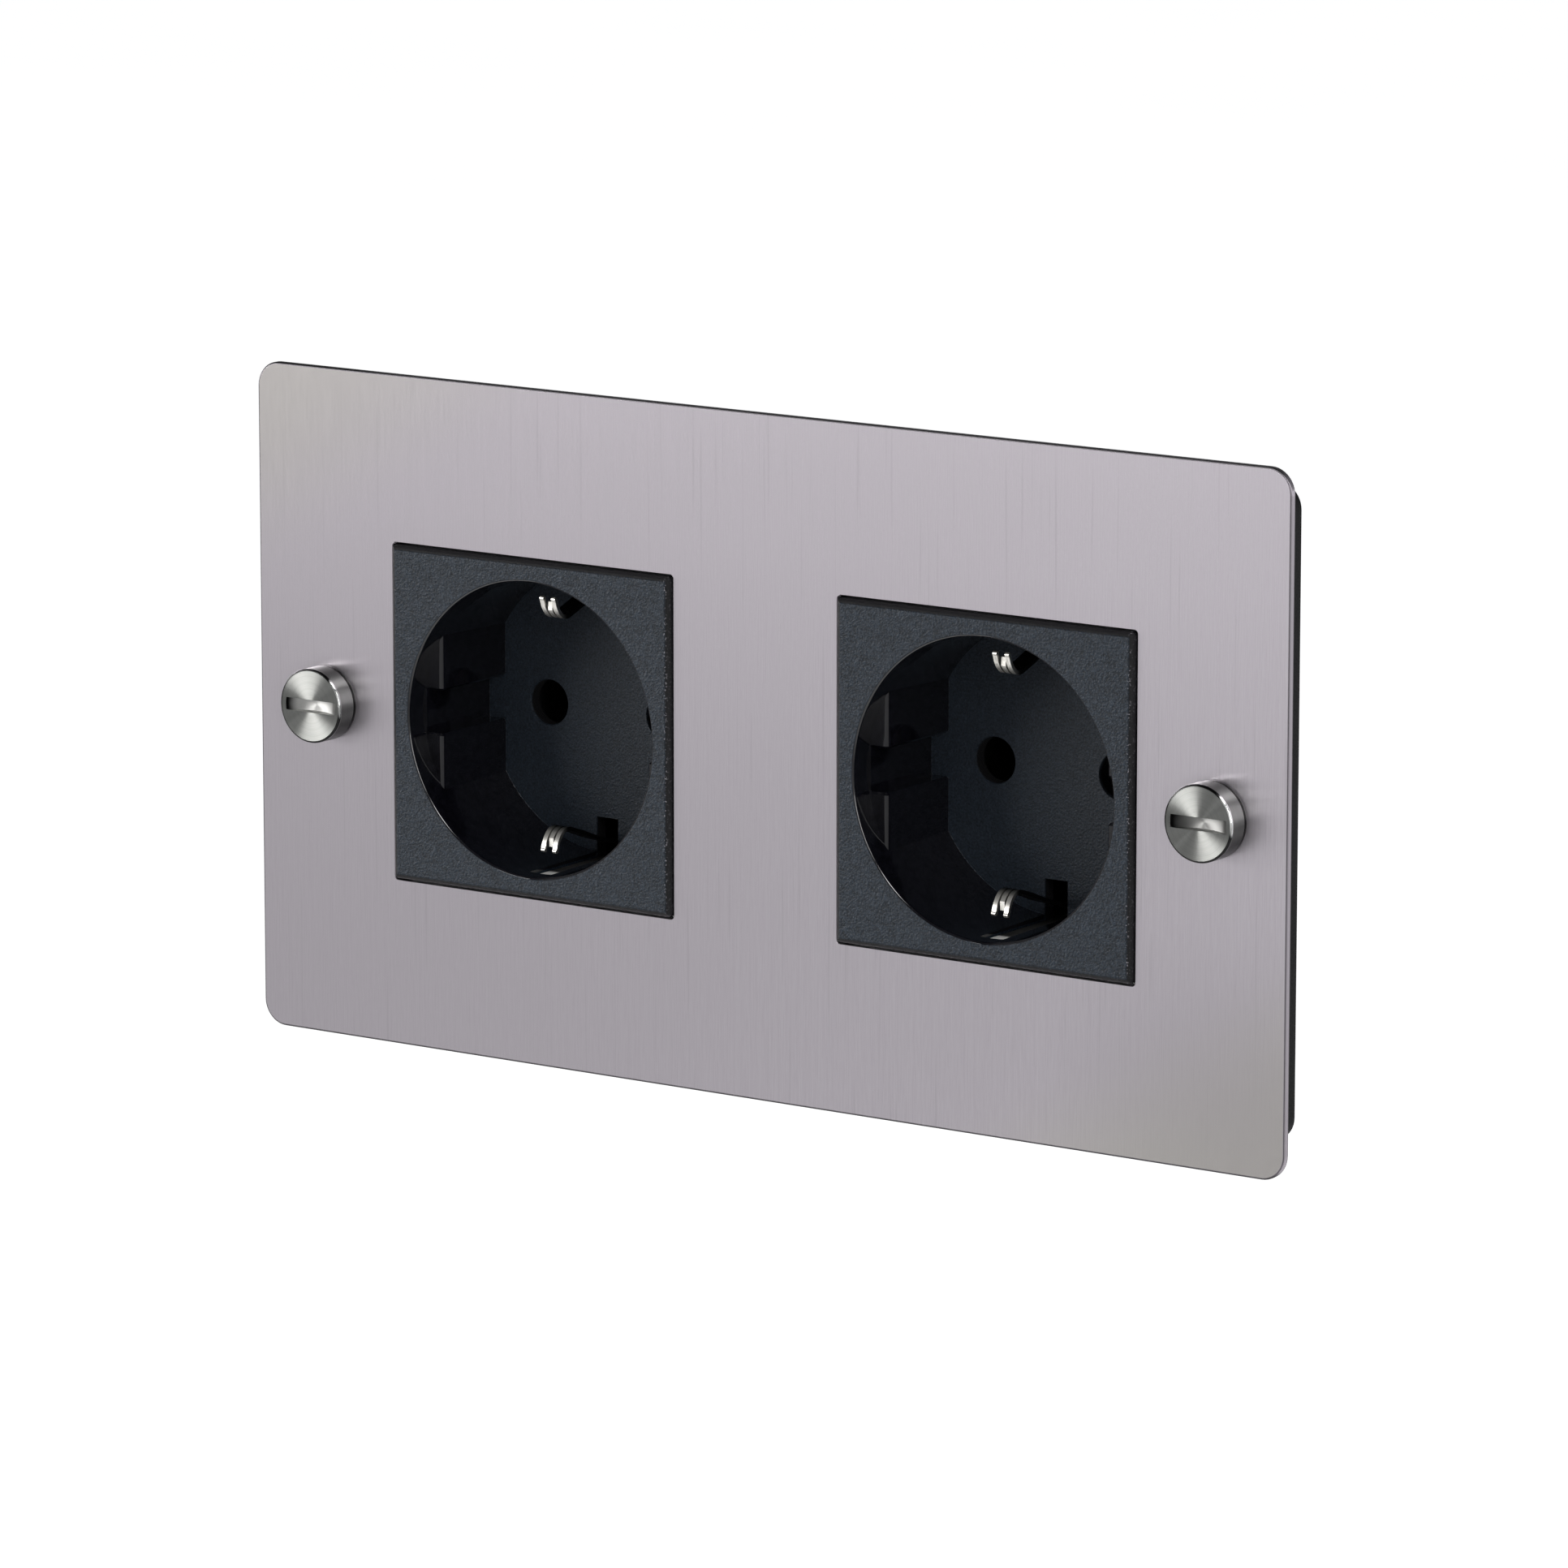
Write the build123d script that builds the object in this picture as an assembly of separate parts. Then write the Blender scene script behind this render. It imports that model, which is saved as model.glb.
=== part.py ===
"""Double wall socket outlet with two recessed round earth-clip sockets behind one brushed steel face plate.

Frame: +Z up, +X to the right as seen from the front, +Y into the wall.
Origin: on the wall plane (the back of the backing frame), midway between the two sockets.
Units: millimetres.
"""

import math
import os

from build123d import *

os.makedirs("parts", exist_ok=True)

# ---------------------------------------------------------------- driving dimensions
PITCH = 71.0  # socket centre to socket centre, the usual gang pitch
PLATE_W, PLATE_H, PLATE_T, PLATE_R = 160.8, 90.2, 0.85, 3.4
CUT_W, CUT_H, CUT_R = 45.35, 45.45, 0.5  # openings in the face plate
FRAME_T = 2.6  # backing frame, wall to plate
FRAME_W, FRAME_TOP, FRAME_BOTTOM, FRAME_R = 159.5, 42.7, -40.6, 3.2
FRAME_IN_W, FRAME_IN_H = 151.2, 76.0
YOKE_W, YOKE_H, YOKE_T = 150.6, 75.4, 1.2
Y_YOKE = -1.3  # front of the yoke; its back stays 0.1 clear of the wall plane, so the frame seats first
YOKE_OPEN = 45.4
BOX_PITCH_Z, BOX_SLOT_L, BOX_SLOT_R = 60.0, 8.0, 2.1  # wall-box screws
SCREW_X = 69.45  # face screws, either side of centre
HEAD_R, HEAD_H, SHANK_R = 5.0, 3.15, 2.0
WASHER_R, WASHER_T = 4.95, 0.4
COIN_L, COIN_W, COIN_D = 8.4, 1.7, 1.5  # coin slot: length, width, depth in its middle
MOD_W, MOD_H = 45.0, 45.0  # moulded socket insert, front
EDGE_R = 0.85  # rounded front edge of the insert
PROUD = 0.7  # insert face ahead of the plate face
DEPTH = 17.5  # recess depth
R_MOUTH, R_FLOOR, R_CUP = 19.65, 19.4, 21.0
FLAT = 16.6  # guide flats, from the socket's centre line
LEDGE = 3.4  # guide flats start this far below the insert's face
GROOVE_W, GROOVE_X = 5.8, 19.25  # guide groove through each flat
PIN_X, PIN_R, FLOOR_T = 9.5, 3.0, 2.0
SLOT_W, SLOT_Z0, SLOT_Z1 = 3.5, 14.6, 21.25  # slots for the earth springs
CHAMFER = 4.5  # corners of the body behind the yoke
BODY_BACK = 36.0
WALL = 1.3
POST = 16.0  # cover screws, on two opposite corners

Y_PLATE_BACK = -FRAME_T
Y_PLATE = Y_PLATE_BACK - PLATE_T
Y_FACE = Y_PLATE - PROUD
Y_FLOOR = Y_FACE + DEPTH
Y_CUP = Y_FLOOR + FLOOR_T
Y_LEDGE = Y_FACE + LEDGE


# ---------------------------------------------------------------- helpers
def plane(y):
    """Sketch plane at y: local x is +X, local y is +Z, extrusions run towards the front."""
    return Plane(origin=(0, y, 0), x_dir=(1, 0, 0), z_dir=(0, -1, 0))


def prism(sketch, y0, y1):
    """The sketch between y0 (front) and y1 (back)."""
    return extrude(plane(y1) * sketch, amount=y1 - y0)


def rod(r, y0, y1, x=0.0, z=0.0):
    return Pos(x, (y0 + y1) / 2, z) * Rot(X=90) * Cylinder(r, y1 - y0)


def block(x0, x1, y0, y1, z0, z1):
    return Pos((x0 + x1) / 2, (y0 + y1) / 2, (z0 + z1) / 2) * Box(x1 - x0, y1 - y0, z1 - z0)


def octagon(w, h, c):
    a, b = w / 2, h / 2
    pts = [(-a + c, -b), (a - c, -b), (a, -b + c), (a, b - c), (a - c, b), (-a + c, b), (-a, b - c), (-a, -b + c)]
    return make_face(Polyline(*pts, close=True))


def save(shape, name):
    solids = shape.solids()
    out = solids[0] if len(solids) == 1 else Compound(children=list(solids))
    out.label = name
    export_step(out, f"parts/{name}.step")


def turned(shape):
    """Half a turn about the socket's own centre line."""
    return Rot(Y=180) * shape


# ---------------------------------------------------------------- face plate: brushed sheet, two openings, two screw holes
plate = prism(RectangleRounded(PLATE_W, PLATE_H, PLATE_R), Y_PLATE, Y_PLATE_BACK)
front = plate.faces().sort_by(Axis.Y)[0]
plate = fillet(front.edges(), 0.28)
for s in (-1, 1):
    plate -= prism(Pos(s * PITCH / 2, 0) * RectangleRounded(CUT_W, CUT_H, CUT_R), Y_PLATE - 1, Y_PLATE_BACK + 1)
    plate -= rod(2.2, Y_PLATE - 1, Y_PLATE_BACK + 1, s * SCREW_X)
rim = [e for e in plate.edges() if abs(e.center().Y - Y_PLATE) < 1e-3 and abs(e.center().X) < 62 and abs(e.center().Z) < 25]
plate = chamfer(rim, 0.08)
save(plate, "face_plate")

# ---------------------------------------------------------------- backing frame behind the plate's edge
mid = (FRAME_TOP + FRAME_BOTTOM) / 2
frame = prism(Pos(0, mid) * RectangleRounded(FRAME_W, FRAME_TOP - FRAME_BOTTOM, FRAME_R), Y_PLATE_BACK, 0)
frame -= prism(RectangleRounded(FRAME_IN_W, FRAME_IN_H, 2.0), Y_PLATE_BACK - 1, 1)
save(frame, "backing_frame")

# ---------------------------------------------------------------- support yoke: pressed steel sheet that carries both inserts
yoke = prism(RectangleRounded(YOKE_W, YOKE_H, 2.0), Y_YOKE, Y_YOKE + YOKE_T)
for s in (-1, 1):
    yoke -= prism(Pos(s * PITCH / 2, 0) * RectangleRounded(YOKE_OPEN, YOKE_OPEN, 0.8), -3, 1)
    yoke -= rod(2.6, -3, 1, s * SCREW_X)
    for t in (-1, 1):
        slot = Pos(s * PITCH / 2, t * BOX_PITCH_Z / 2) * SlotOverall(BOX_SLOT_L, 2 * BOX_SLOT_R)
        yoke -= prism(slot, -3, 1)
save(yoke, "support_yoke")

# ---------------------------------------------------------------- threaded bushes, washers and coin-slot face screws
for s, side in ((-1, "left"), (1, "right")):
    x = s * SCREW_X
    bush = rod(2.6, Y_YOKE, 3.2, x) + rod(3.4, -FRAME_T, Y_YOKE, x) - rod(SHANK_R + 0.05, -4, 5, x)
    save(bush, f"{side}_screw_bush")
    washer = rod(WASHER_R, Y_PLATE - WASHER_T, Y_PLATE, x) - rod(SHANK_R + 0.05, Y_PLATE - 1, Y_PLATE + 1, x)
    save(washer, f"{side}_screw_washer")
    y1 = Y_PLATE - WASHER_T
    head = rod(HEAD_R, y1 - HEAD_H, y1, x)
    head = fillet(head.edges().sort_by(Axis.Y)[0:1], 0.28)
    head = chamfer(head.edges().sort_by(Axis.Y)[-1:], 0.18)
    shank = rod(SHANK_R, y1, 6.0, x)
    shank = chamfer(shank.edges().sort_by(Axis.Y)[-1:], 0.4)
    screw = head + shank
    rc = (COIN_L**2 / 4 + COIN_D**2) / (2 * COIN_D)
    cutter = Pos(x, y1 - HEAD_H + COIN_D - rc, 0) * Cylinder(rc, COIN_W)
    screw -= cutter
    save(screw, f"{side}_face_screw")

# ---------------------------------------------------------------- socket insert, front moulding
body = prism(Rectangle(MOD_W, MOD_H), Y_FACE, 1.0)
face = body.faces().sort_by(Axis.Y)[0]
body = fillet(face.edges(), EDGE_R)
body = body & prism(RectangleRounded(MOD_W, MOD_H, 0.65), Y_FACE - 1, 1.0)
body -= prism(Rectangle(MOD_W - 2 * WALL, MOD_H - 2 * WALL), Y_FACE + 1.8, 2.0)
shell = prism(octagon(MOD_W, MOD_H, CHAMFER), 1.0, Y_CUP) - prism(
    octagon(MOD_W - 2 * WALL, MOD_H - 2 * WALL, CHAMFER - 0.75), 0.0, Y_CUP + 1
)
# the square front steps in to the chamfered body through a web at each corner
corners = prism(octagon(MOD_W, MOD_H, CHAMFER), 0.0, 1.0) - prism(
    octagon(MOD_W - 2 * WALL, MOD_H - 2 * WALL, CHAMFER - 0.75), -1.0, 2.0
)
body = body + corners + shell + rod(R_CUP, Y_FACE + 0.9, Y_CUP)
for sx, sz in ((1, 1), (-1, -1)):
    body += rod(2.4, Y_FACE + 0.9, Y_CUP, sx * POST, sz * POST)
# recess, slightly tapered, with a rounded mouth
recess = Pos(0, (Y_FACE + Y_FLOOR) / 2, 0) * Rot(X=90) * Cone(R_FLOOR, R_MOUTH, DEPTH)
body -= recess
# guide flats with their ledge and groove
seg = prism(Circle(R_MOUTH + 0.5) & (Pos(FLAT + 5, 0) * Rectangle(10, 40)), Y_LEDGE, Y_FLOOR)
seg -= block(0, GROOVE_X, Y_LEDGE - 1, Y_FLOOR + 1, -GROOVE_W / 2, GROOVE_W / 2)
ledge_edges = [
    e for e in seg.edges() if abs(e.center().Y - Y_LEDGE) < 1e-3 and abs(e.center().X - FLAT) < 1e-3 and e.length > 3
]
seg = fillet(ledge_edges, 0.55)
lip = [
    e
    for e in seg.edges()
    if abs(e.center().Y - Y_LEDGE) < 1e-3 and abs(abs(e.center().Z) - GROOVE_W / 2) < 1e-3 and e.length > 1.2
]
seg = chamfer(lip, 0.3)
body = body + seg + turned(seg)
# pin holes, earth spring slots, pilot holes for the cover screws
for s in (-1, 1):
    body -= rod(PIN_R, Y_FLOOR - 1, Y_CUP + 1, s * PIN_X)
    body -= Pos(s * PIN_X, Y_FLOOR + 0.15, 0) * Rot(X=90) * Cone(PIN_R, PIN_R + 0.15, 0.3)
    z0, z1 = sorted((s * SLOT_Z0, s * SLOT_Z1))
    body -= block(-SLOT_W / 2, SLOT_W / 2, Y_FLOOR - 1, Y_CUP + 1, z0, z1)
    z0, z1 = sorted((s * 18.6, s * SLOT_Z1))
    body -= block(-SLOT_W / 2, SLOT_W / 2, -1.7, Y_CUP + 1, z0, z1)
    body -= rod(1.05, 5.0, Y_CUP + 1, s * POST, s * POST)
# rounded mouth of the recess
mouth = [
    e
    for e in body.edges().filter_by(GeomType.CIRCLE)
    if abs(e.center().Y - Y_FACE) < 1e-3 and abs(e.radius - R_MOUTH) < 0.02
]
body = fillet(mouth, 0.35)
# shoulder lips ahead of the yoke and snap hooks behind it
for s in (-1, 1):
    x0, x1 = sorted((s * (MOD_W / 2 - 0.4), s * (MOD_W / 2 + 1.1)))
    body += block(x0, x1, Y_PLATE_BACK + 0.05, Y_YOKE, -13, 13)
    for z in (-9.0, 9.0):
        hook = make_face(
            Polyline((s * (MOD_W / 2 - 0.3), -0.03), (s * (MOD_W / 2 + 0.8), -0.03), (s * (MOD_W / 2 + 0.8), 0.45), (s * (MOD_W / 2 - 0.3), 3.2), close=True)
        )
        body += Pos(0, 0, z - 2) * extrude(hook, amount=4, dir=(0, 0, 1))

# ---------------------------------------------------------------- rear cover of the insert
Y_COVER = Y_CUP + 0.05
cover = prism(octagon(MOD_W, MOD_H, CHAMFER), Y_COVER, BODY_BACK)
cover = fillet(cover.faces().sort_by(Axis.Y)[-1].edges(), 0.6)
cover -= prism(octagon(MOD_W - 2 * WALL, MOD_H - 2 * WALL, CHAMFER - 0.75), Y_COVER - 1, BODY_BACK - 1.6)
TERM = {"line": (-14.5, 10.0), "neutral": (14.5, -10.0), "earth": (0.0, -11.0)}
Y_T0, Y_T1, Y_WIRE = 25.0, 33.0, 29.0
for sx, sz in ((1, 1), (-1, -1)):
    cover += rod(3.4, Y_COVER, BODY_BACK - 1.0, sx * POST, sz * POST)
    cover -= rod(1.3, Y_COVER - 1, 21, sx * POST, sz * POST)
    cover -= rod(2.7, 20.0, BODY_BACK + 1, sx * POST, sz * POST)
for name, (tx, tz) in TERM.items():
    cover -= rod(3.2, BODY_BACK - 3, BODY_BACK + 1, tx, tz)
    z0, z1 = (15, 25) if tz > 0 else (-25, -15)
    cover -= block(tx - 2.4, tx + 2.4, Y_WIRE - 2.4, Y_WIRE + 2.4, z0, z1)
# locating ribs that hold the terminal blocks and the contacts from behind
for name, (tx, tz) in TERM.items():
    cover += block(tx - 3.6, tx + 3.6, Y_T1 + 0.05, BODY_BACK - 1.5, tz - 3.9, tz + 3.9) - rod(3.2, Y_T1 - 1, BODY_BACK + 1, tx, tz)

# ---------------------------------------------------------------- earth bracket: one folded strip, its arms reach forward in the slots
ARM_W, ARM_Z0, ARM_Z1, Y_WEB = 1.5, 20.1, 20.9, 24.2
Y_ARM = Y_FACE + 3.9
bracket = block(-ARM_W, ARM_W, Y_ARM, Y_WEB + 0.8, ARM_Z0, ARM_Z1)
bracket += block(-ARM_W, ARM_W, Y_ARM, Y_WEB + 0.8, -ARM_Z1, -ARM_Z0)
bracket += block(-ARM_W, ARM_W, Y_WEB, Y_WEB + 0.8, -ARM_Z1, ARM_Z1)
bend = [
    e for e in bracket.edges() if abs(e.center().Y - (Y_WEB + 0.8)) < 1e-3 and abs(abs(e.center().Z) - ARM_Z1) < 1e-3 and e.length > 2.5
]
bracket = fillet(bend, 0.7)
bracket += block(-3.5, 3.5, Y_WEB, Y_WEB + 0.8, -14.9, -7.1)

# ---------------------------------------------------------------- earth spring: three-prong bent strip, upper one
T = 0.5
# inner face of the strip as (distance behind the insert's face, distance from the socket's centre line)
PROFILE = [
    (4.2, 16.75), (4.5, 15.9), (5.1, 14.9), (5.9, 14.2), (6.9, 13.95), (8.4, 14.3), (10.7, 15.1), (12.9, 15.95),
    (15.0, 16.65), (17.6, 17.4), (21.0, 18.25), (24.2, 18.9),
]
inner = [(Y_FACE + y, z) for y, z in PROFILE] + [(22.6, 19.0)]


def normals(pts):
    out = []
    for i, p in enumerate(pts):
        a, b = pts[max(i - 1, 0)], pts[min(i + 1, len(pts) - 1)]
        dy, dz = b[0] - a[0], b[1] - a[1]
        n = math.hypot(dy, dz)
        out.append((-dz / n, dy / n))
    return out


outer = [(p[0] + T * n[0], p[1] + T * n[1]) for p, n in zip(inner, normals(inner))]
outer[-1] = (inner[-1][0], inner[-1][1] + T)
low = Spline(*[(0, y, z) for y, z in inner], tangents=[(0, 0.45, -1), (0, 1, 0)])
high = Spline(*[(0, y, z) for y, z in outer], tangents=[(0, 0.45, -1), (0, 1, 0)])
tip = Line((0, *inner[0]), (0, *outer[0]))
end = Line((0, *inner[-1]), (0, *outer[-1]))
strip = make_face(Wire([low.edge(), end.edge(), high.edge(), tip.edge()]))
HALF = 1.25
spring = extrude(strip, amount=HALF, dir=(1, 0, 0), both=True)
# foot, bent down in front of the bracket's web
foot = block(-HALF, HALF, 22.6, Y_WEB - 0.05, 19.0, 19.0 + T) + block(-HALF, HALF, Y_WEB - 0.05 - T, Y_WEB - 0.05, 15.4, 19.0 + T)
spring = spring + foot
spring = spring.clean()
heel = [e for e in spring.edges() if abs(e.center().Y - (Y_WEB - 0.05)) < 1e-3 and abs(e.center().Z - 19.0 - T) < 1e-3 and e.length > 2]
spring = fillet(heel, 0.4)
# slits between the prongs, and the shorter middle prong
for s in (-1, 1):
    x0, x1 = sorted((s * 0.34, s * 0.6))
    spring -= block(x0, x1, -3, Y_FACE + 8.0, 12, 18.0)
spring -= block(-0.4, 0.4, -3, Y_FACE + 4.85, 12, 18.0)
# curled ends of the outer prongs
ty, tz = (inner[0][0] + outer[0][0]) / 2, (inner[0][1] + outer[0][1]) / 2
for s in (-1, 1):
    curl = Pos(s * 0.925, ty, tz) * Rot(Y=90) * Cylinder(0.3, 0.61)
    spring += curl

# ---------------------------------------------------------------- pin contacts and screw terminals
def contact():
    """Spring contact of the left pin hole: two leaves, a rear web, and a tab to its terminal block."""
    g = 0.8
    pts = [(3.4, 20.6), (2.25, 23.2), (2.75, 26.4), (2.9, 32.5)]
    left = [(-x - g, y) for x, y in pts] + [(-x, y) for x, y in reversed(pts)]
    right = [(x + g, y) for x, y in pts] + [(x, y) for x, y in reversed(pts)]
    c = extrude(make_face(Polyline(*[(x, y, -2.5) for x, y in left], close=True)), amount=5, dir=(0, 0, 1))
    c += extrude(make_face(Polyline(*[(x, y, -2.5) for x, y in right], close=True)), amount=5, dir=(0, 0, 1))
    c += block(-2.9 - g, 2.9 + g, 32.5, 32.5 + g, -2.5, 2.5)
    c += block(-2.9 - g, -2.9, 27.0, 31.0, 2.0, 8.4)
    return Pos(-PIN_X, 0, 0) * c.clean()


line_contact = contact()


def terminal(name):
    tx, tz = TERM[name]
    t = block(tx - 3.5, tx + 3.5, Y_T0, Y_T1, tz - 3.8, tz + 3.8)
    t = chamfer(t.edges().filter_by(Axis.Y), 0.4)
    t -= Pos(tx, Y_WIRE, tz) * Cylinder(1.6, 20)
    t -= rod(1.75, Y_WIRE, Y_T1 + 1, tx, tz)
    if name == "line":
        t -= block(-PIN_X - 2.9 - 0.8, -PIN_X - 2.9, 27.0, 31.0, 2.0, 8.4)
    return t


line_terminal = terminal("line")
earth_terminal = terminal("earth")


def terminal_screw(tx, tz):
    h = rod(2.9, 34.4, BODY_BACK, tx, tz)
    h = fillet(h.edges().sort_by(Axis.Y)[-1:], 0.25)
    h += rod(1.7, 30.9, 34.4, tx, tz)
    h -= block(tx - 3, tx + 3, BODY_BACK - 0.8, BODY_BACK + 1, tz - 0.4, tz + 0.4)
    return h


def cover_screw(s):
    h = rod(2.3, 20.0, 21.7, s * POST, s * POST)
    h = fillet(h.edges().sort_by(Axis.Y)[-1:], 0.3)
    h += rod(1.0, 8.0, 20.0, s * POST, s * POST)
    h -= block(s * POST - 1.6, s * POST + 1.6, 20.9, 23, s * POST - 0.3, s * POST + 0.3)
    h -= block(s * POST - 0.3, s * POST + 0.3, 20.9, 23, s * POST - 1.6, s * POST + 1.6)
    return h


for s, side in ((-1, "left"), (1, "right")):
    at = Pos(s * PITCH / 2, 0, 0)
    save(at * body, f"{side}_socket_housing")
    save(at * cover, f"{side}_rear_cover")
    save(at * bracket, f"{side}_earth_bracket")
    save(at * spring, f"{side}_upper_earth_spring")
    save(at * turned(spring), f"{side}_lower_earth_spring")
    save(at * line_contact, f"{side}_line_contact")
    save(at * turned(line_contact), f"{side}_neutral_contact")
    save(at * line_terminal, f"{side}_line_terminal")
    save(at * turned(line_terminal), f"{side}_neutral_terminal")
    save(at * earth_terminal, f"{side}_earth_terminal")
    for name, (tx, tz) in TERM.items():
        save(at * terminal_screw(tx, tz), f"{side}_{name}_terminal_screw")
    save(at * cover_screw(1), f"{side}_upper_cover_screw")
    save(at * cover_screw(-1), f"{side}_lower_cover_screw")
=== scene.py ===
import math

import bpy
from mathutils import Matrix, Vector

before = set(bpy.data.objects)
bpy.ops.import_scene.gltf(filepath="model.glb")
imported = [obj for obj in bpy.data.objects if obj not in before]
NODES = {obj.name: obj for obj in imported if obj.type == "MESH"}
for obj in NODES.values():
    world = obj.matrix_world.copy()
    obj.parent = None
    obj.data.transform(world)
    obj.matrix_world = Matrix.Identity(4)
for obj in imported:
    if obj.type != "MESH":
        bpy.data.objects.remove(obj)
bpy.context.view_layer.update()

PITCH = 0.071
SCREW_X = 0.06945
Y_PLATE = -0.00345
Y_FACE = -0.00415
Y_FLOOR = Y_FACE + 0.0175
Y_HEAD = -0.0070


# ---------------------------------------------------------------- camera at the photograph's viewing angle
def make_camera():
    cam = bpy.data.cameras.new("camera")
    cam.lens = 204.36
    cam.sensor_width = 36.0
    cam.sensor_fit = "HORIZONTAL"
    cam.clip_start, cam.clip_end = 0.02, 60.0
    o = bpy.data.objects.new("camera", cam)
    bpy.context.scene.collection.objects.link(o)
    right = Vector((0.8229, 0.5682, 0.0)).normalized()
    back = Vector((0.5574, -0.8073, 0.1940)).normalized()
    up = back.cross(right).normalized()
    right = up.cross(back)
    m = Matrix((right, up, back)).transposed().to_4x4()
    m.translation = (0.64247, -0.92730, 0.21922)
    o.matrix_world = m
    bpy.context.scene.camera = o


# ---------------------------------------------------------------- material helpers
class Mat:
    def __init__(self, name):
        self.m = bpy.data.materials.new(name)
        self.m.use_nodes = True
        self.nt = self.m.node_tree
        self.nt.nodes.clear()
        out = self.nt.nodes.new("ShaderNodeOutputMaterial")
        self.b = self.nt.nodes.new("ShaderNodeBsdfPrincipled")
        self.nt.links.new(self.b.outputs["BSDF"], out.inputs["Surface"])
        self.co = self.nt.nodes.new("ShaderNodeTexCoord").outputs["Object"]

    def put(self, socket, value):
        if isinstance(value, bpy.types.NodeSocket):
            self.nt.links.new(value, socket)
        else:
            socket.default_value = value

    def node(self, kind, props=None, ins=None, out=0):
        n = self.nt.nodes.new(kind)
        for k, v in (props or {}).items():
            setattr(n, k, v)
        for k, v in (ins or {}).items():
            self.put(n.inputs[k], v)
        return n.outputs[out]

    def set(self, **kw):
        for k, v in kw.items():
            self.put(self.b.inputs[k.replace("_", " ")], v)
        return self

    def math(self, op, a, b=0.0, clamp=False):
        return self.node("ShaderNodeMath", {"operation": op, "use_clamp": clamp}, {0: a, 1: b})

    def mapped(self, scale, offset=(0, 0, 0), src=None):
        return self.node("ShaderNodeMapping", {}, {"Vector": src or self.co, "Scale": scale, "Location": offset})

    def noise(self, scale, detail=2.0, rough=0.5, vec=None, dist=0.0):
        v = vec or self.co
        return self.node("ShaderNodeTexNoise", {}, {"Vector": v, "Scale": scale, "Detail": detail, "Roughness": rough, "Distortion": dist})

    def range(self, v, a, b, c, d, smooth=False):
        return self.node(
            "ShaderNodeMapRange",
            {"interpolation_type": "SMOOTHSTEP" if smooth else "LINEAR", "clamp": True},
            {"Value": v, "From Min": a, "From Max": b, "To Min": c, "To Max": d},
        )

    def mix(self, f, a, b):
        n = self.nt.nodes.new("ShaderNodeMix")
        n.data_type = "RGBA"
        for key, val in (("Factor_Float", f), ("A_Color", a), ("B_Color", b)):
            s = next(i for i in n.inputs if i.identifier == key)
            self.put(s, val)
        return next(o for o in n.outputs if o.identifier == "Result_Color")

    def mixf(self, f, a, b):
        n = self.nt.nodes.new("ShaderNodeMix")
        n.data_type = "FLOAT"
        for key, val in (("Factor_Float", f), ("A_Float", a), ("B_Float", b)):
            s = next(i for i in n.inputs if i.identifier == key)
            self.put(s, val)
        return next(o for o in n.outputs if o.identifier == "Result_Float")

    def bump(self, height, distance, strength=1.0, normal=None):
        ins = {"Height": height, "Distance": distance, "Strength": strength}
        if normal is not None:
            ins["Normal"] = normal
        return self.node("ShaderNodeBump", {}, ins)

    def xyz(self):
        n = self.nt.nodes.new("ShaderNodeSeparateXYZ")
        self.nt.links.new(self.co, n.inputs[0])
        return n.outputs[0], n.outputs[1], n.outputs[2]


def rgb(r, g, b):
    """sRGB 0-255 to linear RGBA."""
    f = lambda c: (c / 255) / 12.92 if c / 255 <= 0.04045 else ((c / 255 + 0.055) / 1.055) ** 2.4
    return (f(r), f(g), f(b), 1.0)


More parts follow.
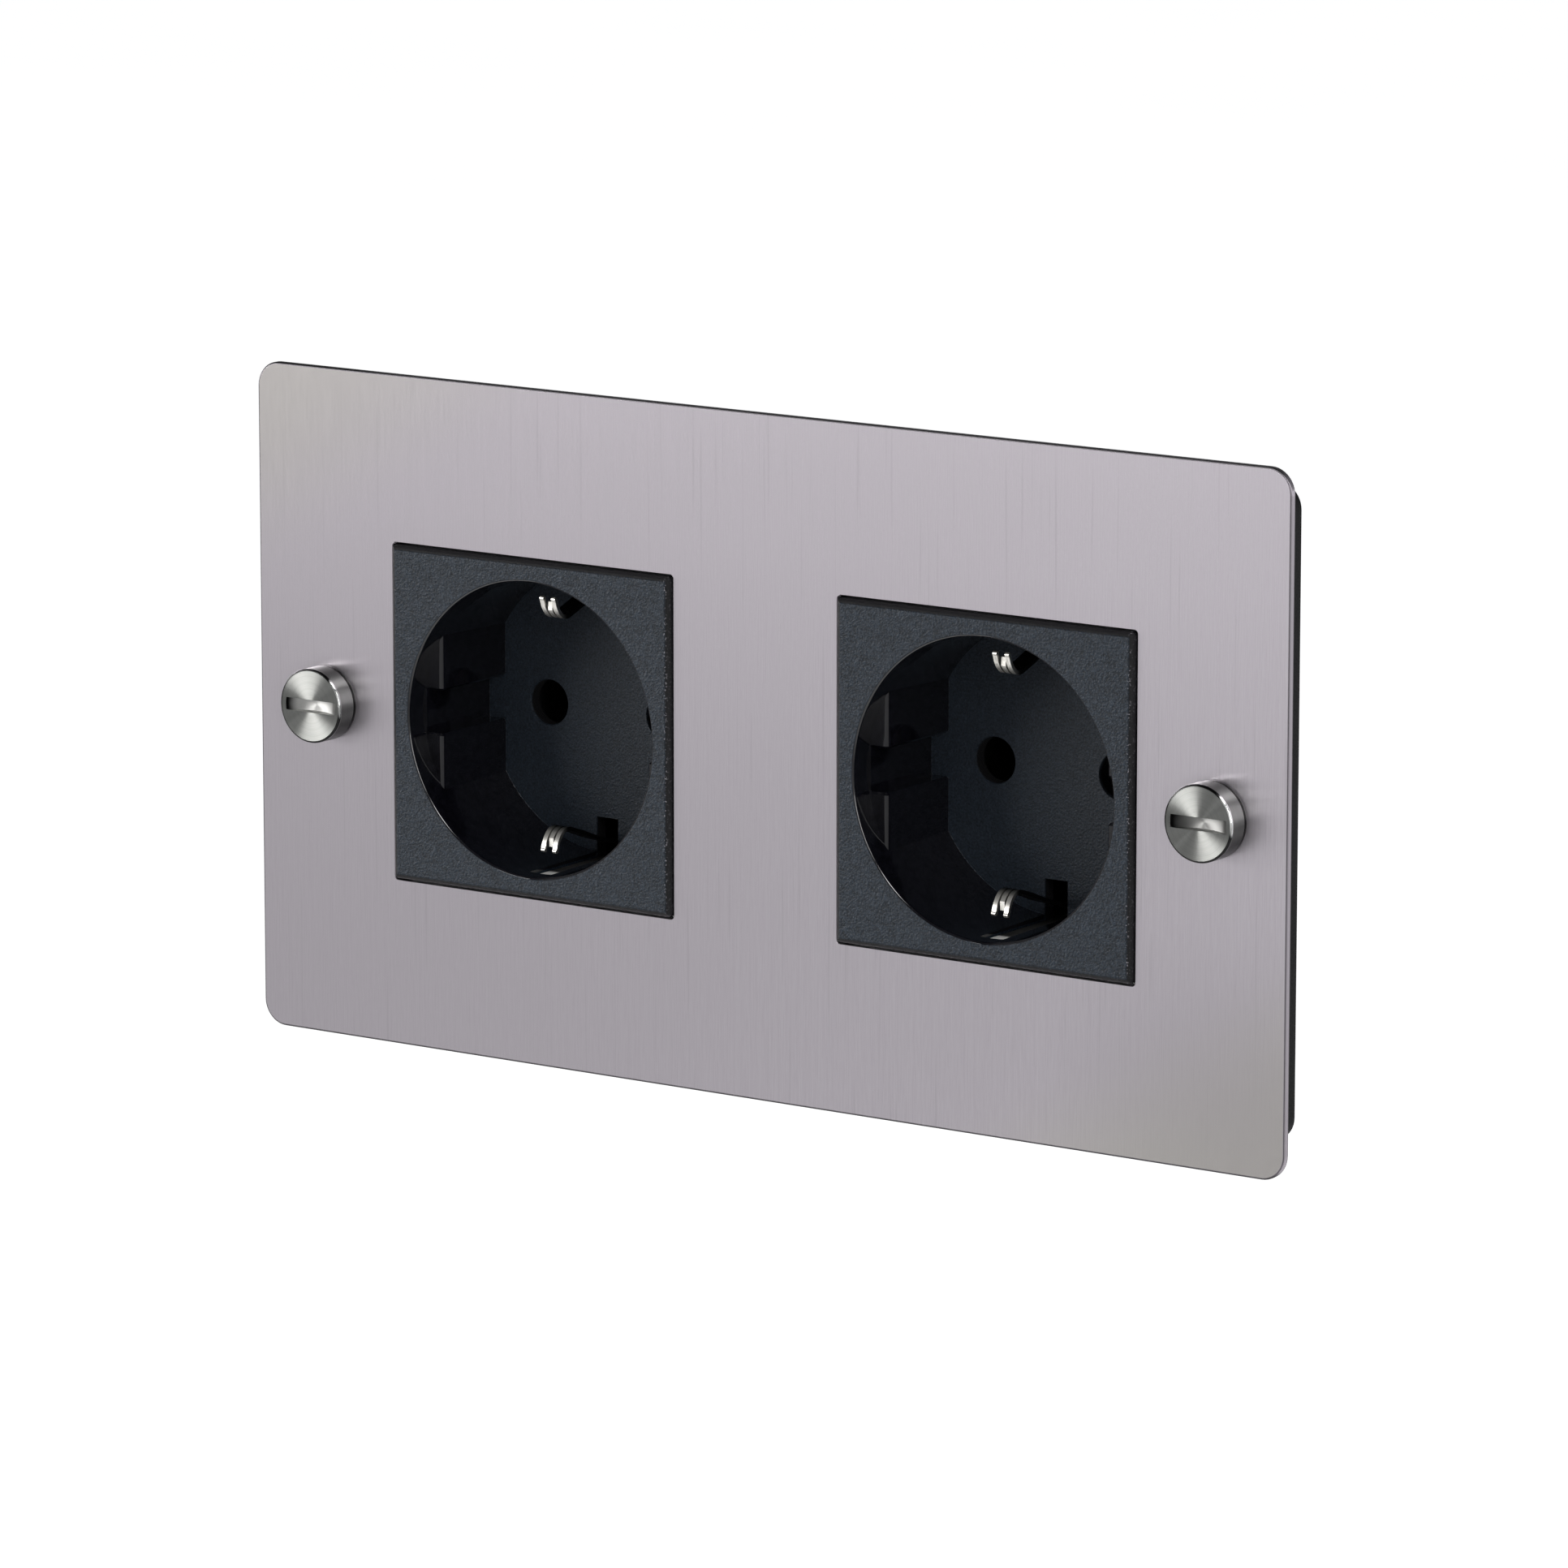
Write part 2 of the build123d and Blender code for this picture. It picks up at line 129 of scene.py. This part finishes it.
# ---------------------------------------------------------------- materials
def brushed_plate():
    m = Mat("plate_brushed_steel")
    fine = m.noise(1.0, 2.0, 0.6, m.mapped((8000, 8000, 330)))
    mid = m.noise(1.0, 3.0, 0.6, m.mapped((4600, 4600, 150), (3.1, 0, 1.7)))
    line = m.noise(1.0, 1.0, 0.5, m.mapped((2700, 2700, 22), (0.4, 0, 8.2)))
    cloud = m.noise(24.0, 2.0, 0.5)
    s = m.math("ADD", m.math("MULTIPLY", fine, 0.5), m.math("ADD", m.math("MULTIPLY", mid, 0.3), m.math("MULTIPLY", line, 0.2)))
    tone = m.range(s, 0.36, 0.64, 0.0, 1.0)
    col = m.mix(tone, PLATE_DARK, PLATE_LIGHT)
    # a few deeper single scratches along the grain
    deep = m.range(m.noise(1.0, 0.0, 0.5, m.mapped((2300, 2300, 34), (7.7, 0, 2.2))), 0.70, 0.78, 0.0, 0.2)
    col = m.mix(deep, col, rgb(168, 163, 169))
    # faint warm tint in two opposite corners
    x, y, z = m.xyz()
    diag = m.math("ADD", m.math("MULTIPLY", x, -9.0), m.math("MULTIPLY", z, 16.0))
    warm = m.range(m.math("ABSOLUTE", diag), 0.95, 1.45, 0.0, 0.8, True)
    col = m.mix(warm, col, PLATE_WARM)
    col = m.mix(m.range(cloud, 0.35, 0.65, 0.0, 0.10), col, PLATE_CLOUD)
    # painted shade: the plate is darker towards the left, in a band near the top and towards the lower right
    plate_painted_shade = m.math("ADD", m.range(x, -0.080, 0.075, 0.50, 0.0), m.range(z, 0.028, 0.045, 0.0, 0.16), True)
    low_right_shade = m.math("MULTIPLY", m.range(x, 0.030, 0.078, 0.0, 1.0, True), m.range(z, -0.008, -0.040, 0.0, 0.62, True))
    plate_painted_shade = m.math("MAXIMUM", plate_painted_shade, low_right_shade)
    col = m.mix(plate_painted_shade, col, PLATE_SHADE_TONE)
    # distance in from the rounded outline: 0 at the outer edge, 0.28 mm where the flat begins
    qx = m.math("MAXIMUM", m.math("SUBTRACT", m.math("ABSOLUTE", x), 0.0770), 0.0)
    qz = m.math("MAXIMUM", m.math("SUBTRACT", m.math("ABSOLUTE", z), 0.0417), 0.0)
    rim = m.math("SUBTRACT", 0.0034, m.math("SQRT", m.math("ADD", m.math("MULTIPLY", qx, qx), m.math("MULTIPLY", qz, qz))))
    # painted shade over the start of the rounded edge, much less dark on the right side; the same mask also makes the
    # edge rougher
    edge = m.range(rim, 0.000292, 0.000262, 0.0, 1.0, True)
    side = m.range(x, 0.0785, 0.0799, 0.0, 1.0, True)
    col = m.mix(edge, col, m.mix(side, rgb(118, 115, 119), rgb(184, 178, 185)))
    # painted shade darkens the rolled edge, but on the right side only along a fine line
    # and along most of the top it is painted less dark
    top = m.math("MULTIPLY", m.range(x, -0.066, -0.056, 0.0, 0.6, True), m.range(z, 0.0405, 0.0430, 0.0, 1.0, True))
    edge_shade_sides = m.math("MULTIPLY", m.math("SUBTRACT", 1.0, side), m.math("SUBTRACT", 1.0, top))
    col = m.mix(m.math("MULTIPLY", m.range(rim, 0.00022, 0.00008, 0.0, 0.92, True), edge_shade_sides), col, rgb(44, 43, 45))
    right_shade_line = m.math("MULTIPLY", m.range(rim, 0.00024, 0.00019, 0.0, 1.0, True), m.range(rim, 0.00011, 0.00006, 1.0, 0.0, True))
    col = m.mix(m.math("MULTIPLY", right_shade_line, m.math("MULTIPLY", side, 0.7)), col, rgb(60, 58, 62))
    # painted shade on the plate's side face, lighter on the right side
    back = m.math("SUBTRACT", 0.85, m.math("MULTIPLY", side, 0.4))
    col = m.mix(m.math("MULTIPLY", m.range(y, Y_PLATE + 0.00066, Y_PLATE + 0.00076, 0.0, 1.0, True), back), col, rgb(52, 50, 53))
    rough = m.math("ADD", m.range(s, 0.35, 0.65, 0.35, 0.29), m.math("MULTIPLY", edge, 0.30))
    m.set(Base_Color=col, Metallic=1.0, Roughness=rough, Anisotropic=0.86)
    m.set(Tangent=m.node("ShaderNodeCombineXYZ", {}, {0: 1.0, 1: 0.3, 2: 0.0}))
    m.set(Normal=m.bump(s, 0.000003, 0.4))
    return m.m


def turned_steel(name, cx, slot_shade_reach, slot_tone_and_light, highlight_gain):
    m = Mat(name)
    x, y, z = m.xyz()
    dx = m.math("SUBTRACT", x, cx)
    r = m.math("SQRT", m.math("ADD", m.math("MULTIPLY", dx, dx), m.math("MULTIPLY", z, z)))
    v = m.node("ShaderNodeCombineXYZ", {}, {0: m.math("MULTIPLY", r, 11000.0), 1: m.math("MULTIPLY", y, 11000.0), 2: 0.0})
    ring = m.noise(1.0, 3.0, 0.6, v)
    v2 = m.node("ShaderNodeCombineXYZ", {}, {0: m.math("MULTIPLY", r, 2600.0), 1: m.math("MULTIPLY", y, 2600.0), 2: 0.5})
    ring2 = m.noise(1.0, 2.0, 0.5, v2)
    s = m.math("ADD", m.math("MULTIPLY", ring, 0.84), m.math("MULTIPLY", ring2, 0.16))
    nick = m.range(m.noise(900.0, 4.0, 0.7), 0.60, 0.72, 0.0, 0.25)
    col = m.mix(m.range(s, 0.35, 0.65, 0.0, 1.0), rgb(114, 115, 113), rgb(136, 137, 134))
    col = m.mix(nick, col, rgb(106, 106, 104))
    # the coin slot was milled along its length, across the turning marks of the face
    in_slot = m.math("MULTIPLY", m.range(m.math("ABSOLUTE", z), 0.00084, 0.00087, 1.0, 0.0), m.range(y, Y_HEAD + 0.00004, Y_HEAD + 0.00008, 0.0, 1.0), True)
    in_slot = m.math("MULTIPLY", in_slot, m.range(r, 0.0041, 0.0043, 1.0, 0.0), True)
    # the slot floor's tone is set per screw, lighter in the left screw's slot: painted light over the milled finish
    col = m.mix(in_slot, col, rgb(*slot_tone_and_light))
    # painted shade at the slot's ends, stronger and reaching further at the left end
    slot_end_shade = m.math("MAXIMUM", m.range(dx, -0.0039, slot_shade_reach, 1.0, 0.0, True), m.range(dx, 0.0028, 0.0038, 0.0, 0.6, True))
    col = m.mix(m.math("MULTIPLY", in_slot, slot_end_shade), col, rgb(9, 9, 9))
    # painted shade on the lower part of the head's side
    flank = m.math("MULTIPLY", m.range(r, 0.0040, 0.0045, 0.0, 1.0), m.range(y, Y_HEAD + 0.0003, Y_HEAD + 0.0005, 0.0, 1.0, True))
    under_shade = m.math("MULTIPLY", m.range(z, 0.0004, -0.0026, 0.0, 0.90, True), flank)
    col = m.mix(under_shade, col, rgb(22, 22, 22))
    # a darker line where the side meets the washer, and a smoother front corner with painted shade and a painted
    # highlight crescent on its right
    seam = m.math("MULTIPLY", m.range(y, -0.00406, -0.00396, 0.0, 0.92, True), m.range(y, -0.0036, -0.0033, 1.0, 0.0, True))
    col = m.mix(seam, col, rgb(20, 19, 19))
    corner = m.math("MULTIPLY", m.range(r, 0.00468, 0.00474, 0.0, 1.0), m.range(y, Y_HEAD + 0.00030, Y_HEAD + 0.00034, 1.0, 0.0), True)
    painted_crescent = m.math("MULTIPLY", corner, m.range(m.math("SUBTRACT", dx, m.math("MULTIPLY", z, -0.35)), 0.0043, 0.0048, 0.0, highlight_gain, True))
    col = m.mix(corner, col, rgb(40, 40, 40))
    col = m.mix(painted_crescent, col, rgb(238, 239, 237))
    rough = m.math("ADD", m.range(s, 0.35, 0.65, 0.34, 0.28), m.math("SUBTRACT", m.math("MULTIPLY", in_slot, 0.48), m.math("MULTIPLY", corner, 0.10)))
    m.set(Base_Color=col, Metallic=1.0, Roughness=rough)
    m.set(Anisotropic=0.98, Anisotropic_Rotation=m.range(in_slot, 0.4, 0.6, 0.25, 0.0))
    m.set(Tangent=m.node("ShaderNodeTangent", {"direction_type": "RADIAL", "axis": "Y"}))
    m.set(Normal=m.bump(s, 0.000006, 0.5))
    return m.m


def insert_plastic():
    m = Mat("insert_spark_textured")
    x, y, z = m.xyz()
    # gloss only inside the recess, from just past the mouth down to the floor
    ax = m.math("SUBTRACT", m.math("ABSOLUTE", x), PITCH / 2)
    r = m.math("SQRT", m.math("ADD", m.math("MULTIPLY", ax, ax), m.math("MULTIPLY", z, z)))
    g0 = m.range(r, 0.01993, 0.02000, 1.0, 0.0, True)
    g1 = m.range(y, Y_FACE, Y_FACE + 0.00003, 0.0, 1.0, True)
    g2 = m.range(y, Y_FLOOR - 0.0002, Y_FLOOR - 0.00005, 1.0, 0.0, True)
    gloss = m.math("MULTIPLY", m.math("MULTIPLY", g0, g1), g2, True)
    grain = m.noise(3300.0, 3.0, 0.65)
    pits = m.node("ShaderNodeTexVoronoi", {"feature": "F1"}, {"Vector": m.co, "Scale": 3600.0}, 0)
    cloud = m.noise(900.0, 3.0, 0.55)
    h = m.math("ADD", m.math("MULTIPLY", grain, 0.7), m.math("MULTIPLY", pits, 0.35))
    tone = m.range(m.math("ADD", m.math("MULTIPLY", grain, 0.75), m.math("MULTIPLY", cloud, 0.25)), 0.36, 0.64, 0.0, 1.0)
    face = m.mix(tone, INSERT_DARK, INSERT_LIGHT)
    wall = m.mix(m.range(cloud, 0.4, 0.6, 0.0, 1.0), rgb(6, 6, 10), rgb(11, 11, 16))
    # the rounded outer edge is smooth and painted black as shade, with painted glints as bright specks on its right
    # side
    az = m.math("ABSOLUTE", z)
    ring = m.range(m.math("MAXIMUM", m.math("ABSOLUTE", ax), az), 0.02172, 0.02200, 0.0, 1.0, True)
    face = m.mix(ring, face, rgb(5, 5, 7))
    right = m.math("MULTIPLY", m.math("SIGN", x), ax)
    side = m.math("MULTIPLY", m.range(right, 0.02155, 0.02175, 0.0, 1.0, True), m.range(right, 0.02190, 0.02215, 1.0, 0.15, True))
    glint_specks = m.math("MULTIPLY", m.range(m.noise(3600.0, 1.0, 0.5), 0.60, 0.68, 0.0, 0.7), side, True)
    face = m.mix(glint_specks, face, rgb(120, 118, 124))
    # the recess floor took the finer grain a little lighter
    floor = m.range(y, Y_FLOOR - 0.0003, Y_FLOOR - 0.0001, 0.0, 0.09, True)
    face = m.mix(floor, face, rgb(62, 66, 72))
    # unlit, unpolished depths behind the recess floor
    deep = m.range(y, Y_FLOOR + 0.00012, Y_FLOOR + 0.0004, 0.0, 1.0, True)
    face = m.mix(deep, face, rgb(4, 4, 6))
    m.set(Base_Color=m.mix(gloss, face, wall))
    rough = m.mixf(gloss, m.range(grain, 0.35, 0.65, 0.58, 0.44), m.range(cloud, 0.35, 0.65, 0.14, 0.20))
    lip = m.math("MULTIPLY", m.range(right, 0.000, 0.004, 0.0, 1.0, True), m.range(y, Y_FACE + 0.0004, Y_FACE + 0.0007, 1.0, 0.0, True))
    lip = m.math("MULTIPLY", lip, gloss)
    gloss = m.math("SUBTRACT", gloss, lip, True)
    rough = m.mixf(lip, rough, 0.8)
    m.set(Roughness=m.mixf(deep, rough, 0.92))
    m.b.inputs["Specular IOR Level"].default_value = 0.22
    m.b.inputs["Coat Roughness"].default_value = 0.06
    m.set(Coat_Weight=gloss)
    strength = m.math("SUBTRACT", 1.0, m.math("MAXIMUM", m.math("MULTIPLY", gloss, 0.97), m.math("MULTIPLY", ring, 0.8)))
    m.set(Normal=m.bump(m.math("MULTIPLY", h, strength), 0.00016, 1.0))
    return m.m


def moulded(name, dark, light, rough=(0.5, 0.62), grain=3800.0, depth=0.00003, spec=0.4):
    m = Mat(name)
    g = m.noise(grain, 2.0, 0.55)
    c = m.noise(160.0, 3.0, 0.6)
    m.set(Base_Color=m.mix(m.range(m.math("ADD", m.math("MULTIPLY", g, 0.5), m.math("MULTIPLY", c, 0.5)), 0.38, 0.62, 0, 1), dark, light))
    m.set(Roughness=m.range(g, 0.35, 0.65, rough[1], rough[0]))
    m.b.inputs["Specular IOR Level"].default_value = spec
    m.set(Normal=m.bump(g, depth, 0.6))
    return m.m


def plated(name, a, b, rough=(0.28, 0.4), cloud=230.0, fine=(4200, 900, 900), depth=0.00001, front_shade=None):
    m = Mat(name)
    c = m.noise(cloud, 4.0, 0.6)
    f = m.noise(1.0, 2.0, 0.5, m.mapped(fine))
    t = m.math("ADD", m.math("MULTIPLY", c, 0.6), m.math("MULTIPLY", f, 0.4))
    col = m.mix(m.range(t, 0.38, 0.62, 0, 1), a, b)
    # painted shade darkening the front end, seen down the pin holes
    if front_shade:
        col = m.mix(m.range(m.xyz()[1], front_shade[0], front_shade[1], 0.97, 0.0, True), col, rgb(8, 8, 8))
    m.set(Base_Color=col, Metallic=1.0)
    m.set(Roughness=m.range(t, 0.35, 0.65, rough[1], rough[0]))
    m.set(Normal=m.bump(f, depth, 0.6))
    return m.m


def paint_slot_shade(mat, y0, y1, y2, y3):
    """Paint shade on a finished metal between two depths, where it lies in a closed slot."""
    nt = mat.node_tree
    b = nt.nodes["Principled BSDF"]
    old = b.inputs["Base Color"].links[0].from_socket
    tc = nt.nodes.new("ShaderNodeTexCoord")
    sep = nt.nodes.new("ShaderNodeSeparateXYZ")
    nt.links.new(tc.outputs["Object"], sep.inputs[0])
    fs = []
    for a, c, lo, hi in ((y0, y1, 0.0, 0.97), (y2, y3, 1.0, 0.0)):
        n = nt.nodes.new("ShaderNodeMapRange")
        n.interpolation_type = "SMOOTHSTEP"
        for key, val in (("From Min", a), ("From Max", c), ("To Min", lo), ("To Max", hi)):
            n.inputs[key].default_value = val
        nt.links.new(sep.outputs["Y"], n.inputs["Value"])
        fs.append(n.outputs["Result"])
    mul = nt.nodes.new("ShaderNodeMath")
    mul.operation = "MULTIPLY"
    nt.links.new(fs[0], mul.inputs[0])
    nt.links.new(fs[1], mul.inputs[1])
    mix = nt.nodes.new("ShaderNodeMix")
    mix.data_type = "RGBA"
    for key, val in (("Factor_Float", mul.outputs[0]), ("A_Color", old)):
        nt.links.new(val, next(i for i in mix.inputs if i.identifier == key))
    next(i for i in mix.inputs if i.identifier == "B_Color").default_value = rgb(8, 8, 8)
    nt.links.new(next(o for o in mix.outputs if o.identifier == "Result_Color"), b.inputs["Base Color"])


PLATE_DARK, PLATE_LIGHT = rgb(218, 211, 219), rgb(233, 227, 234)
PLATE_WARM, PLATE_CLOUD = rgb(224, 224, 200), rgb(211, 205, 212)
# the last tone is the colour of the plate's painted shade
PLATE_SHADE_TONE = rgb(197, 191, 197)
INSERT_DARK, INSERT_LIGHT = rgb(4, 10, 17), rgb(28, 37, 47)


def paint():
    plate = brushed_plate()
    insert = insert_plastic()
    frame_black = moulded("frame_black", rgb(8, 8, 9), rgb(14, 14, 16), (0.55, 0.68), 3800.0, 0.00003, 0.12)
    cover = moulded("cover_dark_grey", rgb(34, 35, 37), rgb(46, 47, 50), (0.38, 0.5), 2600.0, 0.00004)
    zinc = plated("yoke_zinc", rgb(168, 170, 170), rgb(198, 199, 197), (0.3, 0.46), 140.0, (900, 900, 900))
    small = plated("zinc_screws", rgb(170, 171, 168), rgb(205, 205, 200), (0.26, 0.38), 600.0, (6000, 6000, 6000))
    brass = plated("brass", rgb(142, 112, 60), rgb(184, 152, 94), (0.24, 0.36), 420.0, (2400, 2400, 700))
    contact = plated("contact_brass", rgb(142, 112, 60), rgb(184, 152, 94), (0.3, 0.42), 420.0, (2400, 2400, 700), front_shade=(0.0245, 0.0300))
    nickel = plated("nickel", rgb(186, 184, 178), rgb(238, 236, 230), (0.30, 0.42), 900.0, (9000, 400, 400), 0.00002)
    strip = plated("dull_tin_strip", rgb(214, 214, 210), rgb(244, 244, 240), (0.44, 0.56), 700.0, (7000, 400, 400), 0.00002)
    strip.node_tree.nodes["Principled BSDF"].inputs["Metallic"].default_value = 0.4
    # painted shade on the strip and spring parts that lie back in slots
    paint_slot_shade(strip, 0.0016, 0.0026, 0.016, 0.020)
    paint_slot_shade(nickel, 0.0014, 0.0028, 0.018, 0.022)
    for name, o in NODES.items():
        if name == "face_plate":
            m = plate
        elif name == "backing_frame":
            m = frame_black
        elif name == "support_yoke" or name.endswith("screw_bush"):
            m = zinc
        elif name.endswith(("face_screw", "screw_washer")):
            side = name.split("_")[0]
            m = bpy.data.materials.get(f"turned_steel_{side}") or turned_steel(f"turned_steel_{side}", *((-SCREW_X, -0.0026, (212, 212, 210), 0.6) if side == "left" else (SCREW_X, -0.0010, (186, 186, 184), 1.0)))
        elif name.endswith("socket_housing"):
            m = insert
        elif name.endswith("rear_cover"):
            m = cover
        elif "earth_spring" in name:
            m = nickel
        elif name.endswith("earth_bracket"):
            m = strip
        elif name.endswith("_contact"):
            m = contact
        elif name.endswith(("terminal_screw", "cover_screw")):
            m = small
        else:
            m = brass
        o.data.materials.clear()
        o.data.materials.append(m)


# ---------------------------------------------------------------- stage and lights
def make_stage():
    w = bpy.data.worlds.new("studio")
    bpy.context.scene.world = w
    w.use_nodes = True
    bg = next(n for n in w.node_tree.nodes if n.type == "BACKGROUND")
    bg.inputs["Color"].default_value = (0.97, 0.98, 1.0, 1.0)
    tc = w.node_tree.nodes.new("ShaderNodeTexCoord")
    sep = w.node_tree.nodes.new("ShaderNodeSeparateXYZ")
    ramp = w.node_tree.nodes.new("ShaderNodeMapRange")
    ramp.interpolation_type = "SMOOTHSTEP"
    for key, val in (("From Min", 0.0), ("From Max", 0.5), ("To Min", 1.02), ("To Max", 0.12)):
        ramp.inputs[key].default_value = val
    w.node_tree.links.new(tc.outputs["Generated"], sep.inputs[0])
    w.node_tree.links.new(sep.outputs["Z"], ramp.inputs["Value"])
    front = w.node_tree.nodes.new("ShaderNodeMapRange")
    front.interpolation_type = "SMOOTHSTEP"
    for key, val in (("From Min", -0.6), ("From Max", 0.1), ("To Min", 0.5), ("To Max", 1.0)):
        front.inputs[key].default_value = val
    w.node_tree.links.new(sep.outputs["Y"], front.inputs["Value"])
    both = w.node_tree.nodes.new("ShaderNodeMath")
    both.operation = "MULTIPLY"
    w.node_tree.links.new(ramp.outputs["Result"], both.inputs[0])
    w.node_tree.links.new(front.outputs["Result"], both.inputs[1])
    w.node_tree.links.new(both.outputs[0], bg.inputs["Strength"])
    me = bpy.data.meshes.new("floor")
    s, z = 9.0, -0.42
    me.from_pydata([(-s, -s, z), (s, -s, z), (s, s, z), (-s, s, z)], [], [(0, 1, 2, 3)])
    floor = bpy.data.objects.new("floor", me)
    bpy.context.scene.collection.objects.link(floor)
    m = Mat("floor_pale")
    c = m.noise(6.0, 2.0, 0.5)
    m.set(Base_Color=m.mix(m.range(c, 0.3, 0.7, 0, 1), rgb(246, 246, 247), rgb(250, 250, 250)), Roughness=0.9)
    m.b.inputs["Specular IOR Level"].default_value = 0.1
    m.b.inputs["Emission Color"].default_value = (1, 1, 1, 1)
    # painted glow: the floor's emission is stronger behind the object than in front of it, and rises a little again
    # far in front
    x, y, z = m.xyz()
    far = m.range(y, -1.0, -2.3, 0.0, 0.16, True)
    m.set(Emission_Strength=m.math("ADD", m.range(y, -0.3, 1.0, 0.22, 0.85, True), far))
    me.materials.append(m.m)


def area(name, loc, target, size, radiance, colour=(1, 1, 1), size_y=None, spread=180.0):
    d = bpy.data.lights.new(name, "AREA")
    d.shape = "RECTANGLE"
    d.size, d.size_y = size, size_y or size
    d.energy = radiance * math.pi * d.size * d.size_y
    d.color = colour
    d.spread = math.radians(spread)
    o = bpy.data.objects.new(name, d)
    o.location = loc
    o.rotation_mode = "QUATERNION"
    o.rotation_quaternion = (Vector(target) - Vector(loc)).to_track_quat("-Z", "Y")
    bpy.context.scene.collection.objects.link(o)
    return o


def make_lights():
    # soft key, well round to the left and little above the object
    area("key_left", (-1.220, -0.985, 0.25), (0, 0, 0), 1.2, 4.7, (1.0, 0.99, 0.985), 0.5, 100.0)
    # smaller panel, right of the front, for the glints on rims and edges
    area("panel_right", (1.077, -0.970, 0.42), (0, 0, 0), 0.36, 3.0, (1, 1, 1), 0.9, 110.0)
    area("panel_high", (0.66, -0.72, 1.15), (0, 0, 0), 0.6, 2.6, (1, 1, 1), 0.5, 90.0)


make_camera()
paint()
make_stage()
make_lights()
scene = bpy.context.scene
scene.view_settings.view_transform = "Standard"
scene.view_settings.look = "None"
